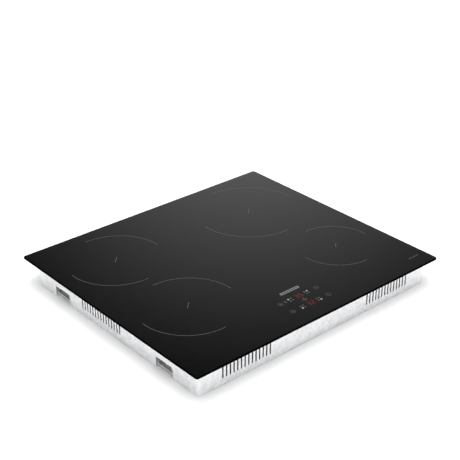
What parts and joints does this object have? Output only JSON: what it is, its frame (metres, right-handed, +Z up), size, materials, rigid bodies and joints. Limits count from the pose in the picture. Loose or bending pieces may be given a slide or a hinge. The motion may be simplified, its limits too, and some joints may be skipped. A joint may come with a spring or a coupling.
{
  "type": "electric induction cooktop",
  "caption": "Built-in induction cooktop: flat black glass plate with printed zones over a shallow steel case with coils, fan, hinged terminal cover and turning clamps.",
  "frame": {"origin": "under the centre of the glass plate, at the bottom of the steel case", "axes": "+X to the right as the cook stands, +Y to the back, +Z up"},
  "size_m": [0.58, 0.51, 0.055],
  "materials": {
    "black_glass": "polished glass-ceramic, printed black on its underside",
    "enamel_print": "fired grey print",
    "red_light": "lit figure seen through dark glass",
    "white_light": "lit dot seen through dark glass",
    "seal_foam": "closed-cell foam",
    "silicone": "cured silicone",
    "galvanised_steel": "galvanised sheet with fine spangle",
    "zinc_steel": "zinc plated",
    "ferrite": "sintered ferrite",
    "mica": "pressed mica",
    "sensor_white": "moulded",
    "spring_steel": "bright spring steel",
    "aluminium_sheet": "mill finish",
    "board_green": "solder mask",
    "sink_aluminium": "extruded",
    "nylon": "moulded nylon",
    "component_black": "moulded epoxy",
    "capacitor_yellow": "moulded box",
    "brass": "turned brass",
    "copper_wire": "enamelled copper",
    "relay_blue": "moulded",
    "fuse_ceramic": "glazed tube",
    "fan_black": "moulded",
    "stator_steel": "laminated steel",
    "holder_grey": "moulded",
    "clear_plastic": "clear moulded",
    "terminal_grey": "fine moulded grain",
    "grommet_rubber": "moulded rubber",
    "lead_red": "silicone insulation",
    "lead_white": "silicone insulation",
    "lead_brown": "insulation",
    "ribbon_grey": "flat cable",
    "former_plastic": "moulded heat-resistant plastic"
  },
  "bodies": {
    "hob": {"glass_top": "black_glass", "zone_print": "enamel_print", "panel_print": "enamel_print", "lit_figures": "red_light", "lit_dots": "white_light", "edge_seal": "seal_foam", "glass_bond": "silicone", "bottom_case": "galvanised_steel", "clamp_studs": "zinc_steel", "ferrite_bars": "ferrite", "insulation_discs": "mica", "temperature_sensors": "sensor_white", "leaf_springs": "spring_steel", "coil_plate_left": "aluminium_sheet", "coil_plate_right": "aluminium_sheet", "power_board_left": "board_green", "power_board_right": "board_green", "heat_sinks": "sink_aluminium", "plate_pillars": "zinc_steel", "plate_screws": "zinc_steel", "board_standoffs": "nylon", "power_transistors": "component_black", "film_capacitors": "capacitor_yellow", "coil_terminals": "brass", "filter_board": "board_green", "filter_capacitors": "capacitor_yellow", "choke_core": "ferrite", "choke_windings": "copper_wire", "mains_relay": "relay_blue", "mains_fuse": "fuse_ceramic", "fan_housing": "fan_black", "fan_stator": "stator_steel", "air_ducts": "fan_black", "touch_board": "board_green", "touch_holder": "holder_grey", "figure_displays": "component_black", "touch_springs": "spring_steel", "light_guides": "clear_plastic", "terminal_housing": "terminal_grey", "terminal_block": "nylon", "terminal_screws": "brass", "cord_grommet": "grommet_rubber", "coil_leads": "lead_red", "sensor_leads": "lead_white", "mains_leads": "lead_brown", "ribbon_cable": "ribbon_grey", "coil_former_rear_left": "former_plastic", "coil_winding_rear_left": "copper_wire", "coil_former_front_left": "former_plastic", "coil_winding_front_left": "copper_wire", "coil_former_rear_right": "former_plastic", "coil_winding_rear_right": "copper_wire", "coil_former_front_right": "former_plastic", "coil_winding_front_right": "copper_wire"},
    "fan": {"fan_rotor": "fan_black"},
    "cover": {"terminal_cover": "terminal_grey"},
    "clamp_front_left": {"clamp_front_left": "zinc_steel"},
    "clamp_rear_left": {"clamp_rear_left": "zinc_steel"},
    "clamp_front_right": {"clamp_front_right": "zinc_steel"},
    "clamp_rear_right": {"clamp_rear_right": "zinc_steel"}
  },
  "joints": [
    {"name": "fan_spin", "type": "hinge", "parent": "hob", "child": "fan", "pos_m": [-0.015, 0.09, 0.016], "axis": [0, 0, 1], "continuous": true},
    {"name": "cover_hinge", "type": "hinge", "parent": "hob", "child": "cover", "pos_m": [-0.027, 0.2364, 0.0442], "axis": [1, 0, 0], "range_deg": [0, 85]},
    {"name": "clamp_front_left_turn", "type": "hinge", "parent": "hob", "child": "clamp_front_left", "pos_m": [-0.265, -0.165, 0.009], "axis": [0, 0, 1], "range_deg": [0, 90]},
    {"name": "clamp_rear_left_turn", "type": "hinge", "parent": "hob", "child": "clamp_rear_left", "pos_m": [-0.265, 0.135, 0.009], "axis": [0, 0, 1], "range_deg": [0, 90]},
    {"name": "clamp_front_right_turn", "type": "hinge", "parent": "hob", "child": "clamp_front_right", "pos_m": [0.265, -0.165, 0.009], "axis": [0, 0, -1], "range_deg": [0, 90]},
    {"name": "clamp_rear_right_turn", "type": "hinge", "parent": "hob", "child": "clamp_rear_right", "pos_m": [0.265, 0.135, 0.009], "axis": [0, 0, -1], "range_deg": [0, 90]}
  ]
}
